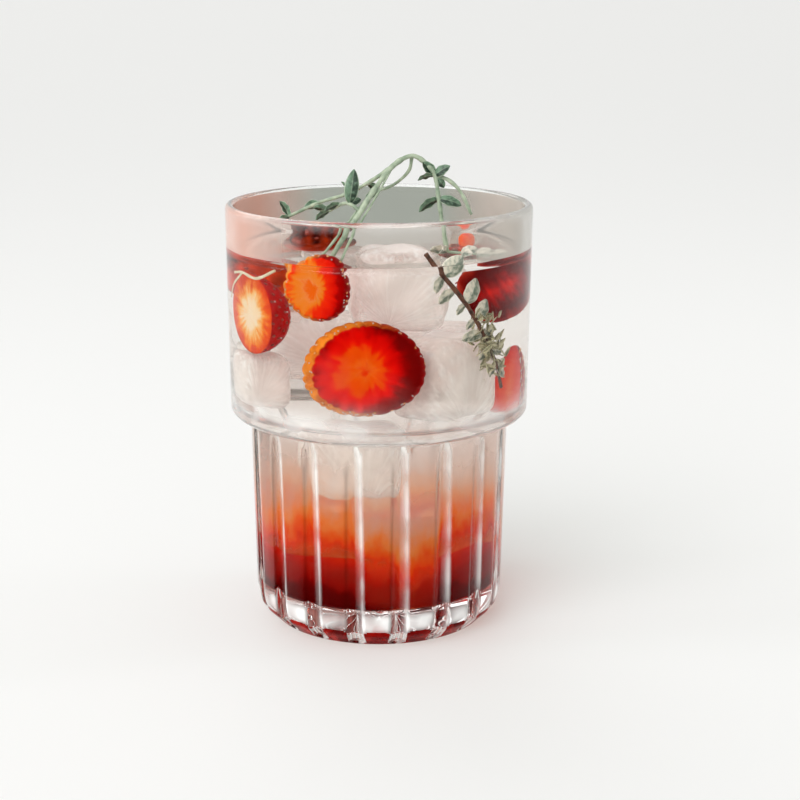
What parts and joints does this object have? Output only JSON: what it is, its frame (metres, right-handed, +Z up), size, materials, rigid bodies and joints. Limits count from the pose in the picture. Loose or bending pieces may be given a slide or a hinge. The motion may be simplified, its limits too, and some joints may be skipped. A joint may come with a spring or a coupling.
{
  "type": "iced drink tumbler",
  "caption": "Stackable pressed-glass tumbler with a fluted lower body, filled with a clear iced drink over red syrup, with strawberry pieces, ice blocks and thyme sprigs that lift out.",
  "frame": {"origin": "middle of the foot, on the table", "axes": "+Z up, -Y is the front that the picture shows, +X to the right"},
  "size_m": [0.086, 0.086, 0.1343],
  "materials": {
    "pressed_glass": "clear fire-polished pressed soda-lime glass",
    "strawberry_syrup": "dark red fruit syrup that turns orange where it is thin",
    "soda_water": "clear drink, faintly pink",
    "clear_ice": "wet ice with white frost and fine streaks inside",
    "strawberry_flesh": "wet cut strawberry, red skin with pale seeds",
    "thyme_green": "fresh thyme, pale green stem and grey-green leaves",
    "thyme_wood": "brown woody thyme stem with grey-green leaves"
  },
  "bodies": {
    "glass": {"tumbler": "pressed_glass", "syrup": "strawberry_syrup", "soda": "soda_water"},
    "ice_neck": {"ice_neck": "clear_ice"},
    "ice_right": {"ice_right": "clear_ice"},
    "ice_centre": {"ice_centre": "clear_ice"},
    "thyme_arch": {"thyme_arch": "thyme_green"},
    "ice_left": {"ice_left": "clear_ice"},
    "strawberry_tip": {"strawberry_tip": "strawberry_flesh", "thyme_stray": "thyme_green"},
    "ice_back_left": {"ice_back_left": "clear_ice"},
    "strawberry_back_half": {"strawberry_back_half": "strawberry_flesh"},
    "ice_back_right": {"ice_back_right": "clear_ice"},
    "strawberry_large_slice": {"strawberry_large_slice": "strawberry_flesh"},
    "strawberry_small_slice": {"strawberry_small_slice": "strawberry_flesh"},
    "strawberry_wedge": {"strawberry_wedge": "strawberry_flesh"},
    "strawberry_right_half": {"strawberry_right_half": "strawberry_flesh"},
    "strawberry_bit": {"strawberry_bit": "strawberry_flesh"},
    "thyme_woody": {"thyme_woody": "thyme_wood"}
  },
  "joints": [
    {"name": "lift_ice_neck", "type": "slide", "parent": "glass", "child": "ice_neck", "axis": [0, 0, 1], "range_m": [0, 0.084], "deforming": ["soda"]},
    {"name": "lift_ice_right", "type": "slide", "parent": "ice_neck", "child": "ice_right", "axis": [0, 0, 1], "range_m": [0, 0.06], "deforming": ["soda"]},
    {"name": "lift_ice_centre", "type": "slide", "parent": "ice_right", "child": "ice_centre", "axis": [0, 0, 1], "range_m": [0, 0.036], "deforming": ["soda"]},
    {"name": "lift_thyme_arch", "type": "slide", "parent": "ice_centre", "child": "thyme_arch", "axis": [0, 0, 1], "range_m": [0, 0.04], "deforming": ["soda"]},
    {"name": "lift_ice_left", "type": "slide", "parent": "glass", "child": "ice_left", "axis": [0, 0, 1], "range_m": [0, 0.06], "deforming": ["soda"]},
    {"name": "lift_strawberry_tip", "type": "slide", "parent": "ice_left", "child": "strawberry_tip", "axis": [0, 0, 1], "range_m": [0, 0.042], "deforming": ["soda"]},
    {"name": "lift_ice_back_left", "type": "slide", "parent": "glass", "child": "ice_back_left", "axis": [0, 0, 1], "range_m": [0, 0.055], "deforming": ["soda"]},
    {"name": "lift_strawberry_back_half", "type": "slide", "parent": "ice_back_left", "child": "strawberry_back_half", "axis": [0, 0, 1], "range_m": [0, 0.025], "deforming": ["soda"]},
    {"name": "lift_ice_back_right", "type": "slide", "parent": "glass", "child": "ice_back_right", "axis": [0, 0, 1], "range_m": [0, 0.058], "deforming": ["soda"]},
    {"name": "lift_strawberry_large_slice", "type": "slide", "parent": "glass", "child": "strawberry_large_slice", "axis": [0, 0, 1], "range_m": [0, 0.056], "deforming": ["soda"]},
    {"name": "lift_strawberry_small_slice", "type": "slide", "parent": "strawberry_large_slice", "child": "strawberry_small_slice", "axis": [0, 0, 1], "range_m": [0, 0.03], "deforming": ["soda"]},
    {"name": "lift_strawberry_wedge", "type": "slide", "parent": "glass", "child": "strawberry_wedge", "axis": [0, 0, 1], "range_m": [0, 0.06], "deforming": ["soda"]},
    {"name": "lift_strawberry_right_half", "type": "slide", "parent": "strawberry_wedge", "child": "strawberry_right_half", "axis": [0, 0, 1], "range_m": [0, 0.032], "deforming": ["soda"]},
    {"name": "lift_strawberry_bit", "type": "slide", "parent": "strawberry_right_half", "child": "strawberry_bit", "axis": [0, 0, 1], "range_m": [0, 0.02], "deforming": ["soda"]},
    {"name": "lift_thyme_woody", "type": "slide", "parent": "glass", "child": "thyme_woody", "axis": [0, 0, 1], "range_m": [0, 0.052], "deforming": ["soda"]}
  ]
}
